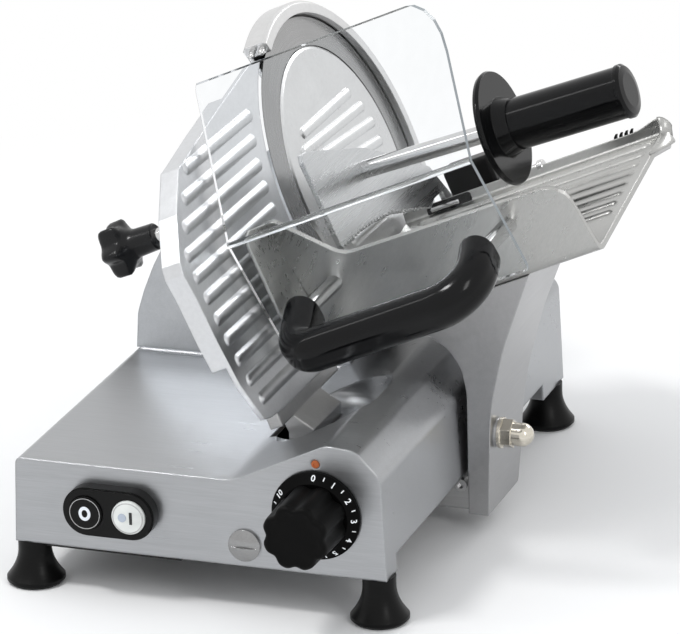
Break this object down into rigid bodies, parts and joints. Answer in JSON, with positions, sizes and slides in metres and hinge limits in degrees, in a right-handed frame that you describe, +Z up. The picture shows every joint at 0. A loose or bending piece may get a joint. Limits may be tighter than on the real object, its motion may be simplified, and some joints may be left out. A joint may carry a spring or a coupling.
{
  "type": "countertop gravity slicer",
  "caption": "Countertop gravity meat slicer with a tilted round blade, ribbed gauge plate, sliding product tray with clear hand guard, and a swinging pusher.",
  "frame": {"origin": "on the bench under the middle of the part's plan box", "axes": "+X to the operator's right, away from the blade; +Y to the back, along the carriage's travel; +Z up"},
  "size_m": [0.4664, 0.5263, 0.4296],
  "materials": {
    "cast_aluminium": "satin, fine polishing lines",
    "brushed_aluminium": "polished with soft brushing",
    "blade_steel": "ground, ring lines",
    "polished_steel": "polished",
    "nickel": "polished nickel",
    "copper": "plain",
    "bronze": "machined",
    "black_plastic": "satin",
    "gloss_black": "glossy",
    "white_plastic": "satin",
    "lens": "clear cap",
    "dark_plate": "satin",
    "rubber": "satin",
    "clear_sheet": "clear acrylic sheet"
  },
  "bodies": {
    "base": {"base_housing": "cast_aluminium", "bottom_cover": "dark_plate", "foot_front_left": "rubber", "foot_front_right": "rubber", "foot_rear_left": "rubber", "foot_rear_right": "rubber", "switch_bezel": "black_plastic", "switch_block": "black_plastic", "rod_plug": "polished_steel", "guide_rod": "polished_steel", "guide_bar": "polished_steel", "cord_gland": "black_plastic", "index_mark": "copper", "motor_housing": "cast_aluminium", "ring_guard": "cast_aluminium", "ring_pins": "polished_steel", "motor": "dark_plate", "motor_bracket": "cast_aluminium", "drive_belt": "rubber", "bearing_front": "polished_steel", "bearing_rear": "polished_steel", "blade_cover": "brushed_aluminium", "tie_rod": "polished_steel", "gauge_rod": "polished_steel"},
    "stop_switch": {"stop_button": "black_plastic"},
    "start_switch": {"start_button": "white_plastic", "pilot_lens": "lens"},
    "dial": {"dial_skirt": "black_plastic", "dial_cap": "black_plastic", "dial_shaft": "polished_steel"},
    "gauge": {"gauge_support": "cast_aluminium", "gauge_plate": "brushed_aluminium"},
    "blade_drive": {"blade_hub": "polished_steel", "blade": "blade_steel"},
    "motor_rotor": {"motor_shaft": "polished_steel"},
    "cover_knob": {"star_knob": "black_plastic"},
    "carriage": {"carriage_foot": "cast_aluminium", "rod_bush_front": "bronze", "rod_bush_rear": "bronze", "support_arm": "cast_aluminium", "arm_nut": "nickel", "lock_screw": "polished_steel", "tray": "brushed_aluminium", "post_left": "polished_steel", "post_right": "polished_steel", "hand_guard": "clear_sheet", "carriage_handle": "gloss_black", "pusher_rod": "polished_steel", "rod_bracket_left": "cast_aluminium", "rod_bracket_right": "cast_aluminium"},
    "guide_roller": {"roller": "black_plastic"},
    "pusher_slide": {"pusher_sleeve": "polished_steel"},
    "pusher": {"pusher_boss": "cast_aluminium", "pusher_plate": "brushed_aluminium", "pusher_tube": "polished_steel", "pusher_disc": "gloss_black", "pusher_grip": "gloss_black", "grip_cap": "gloss_black"}
  },
  "joints": [
    {"name": "stop_press", "type": "slide", "parent": "base", "child": "stop_switch", "axis": [0, 1, 0], "range_m": [0, 0.0025], "stiffness_N_per_m": 400},
    {"name": "start_press", "type": "slide", "parent": "base", "child": "start_switch", "axis": [0, 1, 0], "range_m": [0, 0.0025], "stiffness_N_per_m": 400},
    {"name": "dial_turn", "type": "hinge", "parent": "base", "child": "dial", "pos_m": [0.0696, -0.2138, 0.0828], "axis": [0, -1, 0], "range_deg": [0, 300]},
    {"name": "gauge_travel", "type": "slide", "parent": "base", "child": "gauge", "axis": [-0.9171, 0, -0.3987], "range_m": [0, 0.015]},
    {"name": "blade_spin", "type": "hinge", "parent": "base", "child": "blade_drive", "pos_m": [-0.0212, 0.1262, 0.2325], "axis": [0.9171, 0, 0.3987], "continuous": true},
    {"name": "motor_spin", "type": "hinge", "parent": "base", "child": "motor_rotor", "pos_m": [-0.03316, 0.1262, 0.10953], "axis": [0.9171, 0, 0.3987], "continuous": true},
    {"name": "cover_knob_turn", "type": "hinge", "parent": "base", "child": "cover_knob", "pos_m": [-0.20461, 0.1262, 0.15275], "axis": [-0.9171, 0, -0.3987], "continuous": true},
    {"name": "carriage_travel", "type": "slide", "parent": "base", "child": "carriage", "axis": [0, 1, 0], "range_m": [-0.14, 0.11]},
    {"name": "roller_spin", "type": "hinge", "parent": "carriage", "child": "guide_roller", "pos_m": [0.0983, 0.0087, 0.04695], "axis": [1, 0, 0], "continuous": true},
    {"name": "pusher_travel", "type": "slide", "parent": "carriage", "child": "pusher_slide", "axis": [0.9171, 0, 0.3987], "range_m": [-0.014, 0.115]},
    {"name": "pusher_swing", "type": "hinge", "parent": "pusher_slide", "child": "pusher", "pos_m": [0.06253, 0.1942, 0.1904], "axis": [-0.9171, 0, -0.3987], "range_deg": [-7, 65]}
  ],
  "couplings": [
    {"joint": "gauge_travel", "follows": "dial_turn", "m_per_rad": 0.0028648},
    {"joint": "motor_spin", "follows": "blade_spin", "ratio": 2.3333}
  ]
}
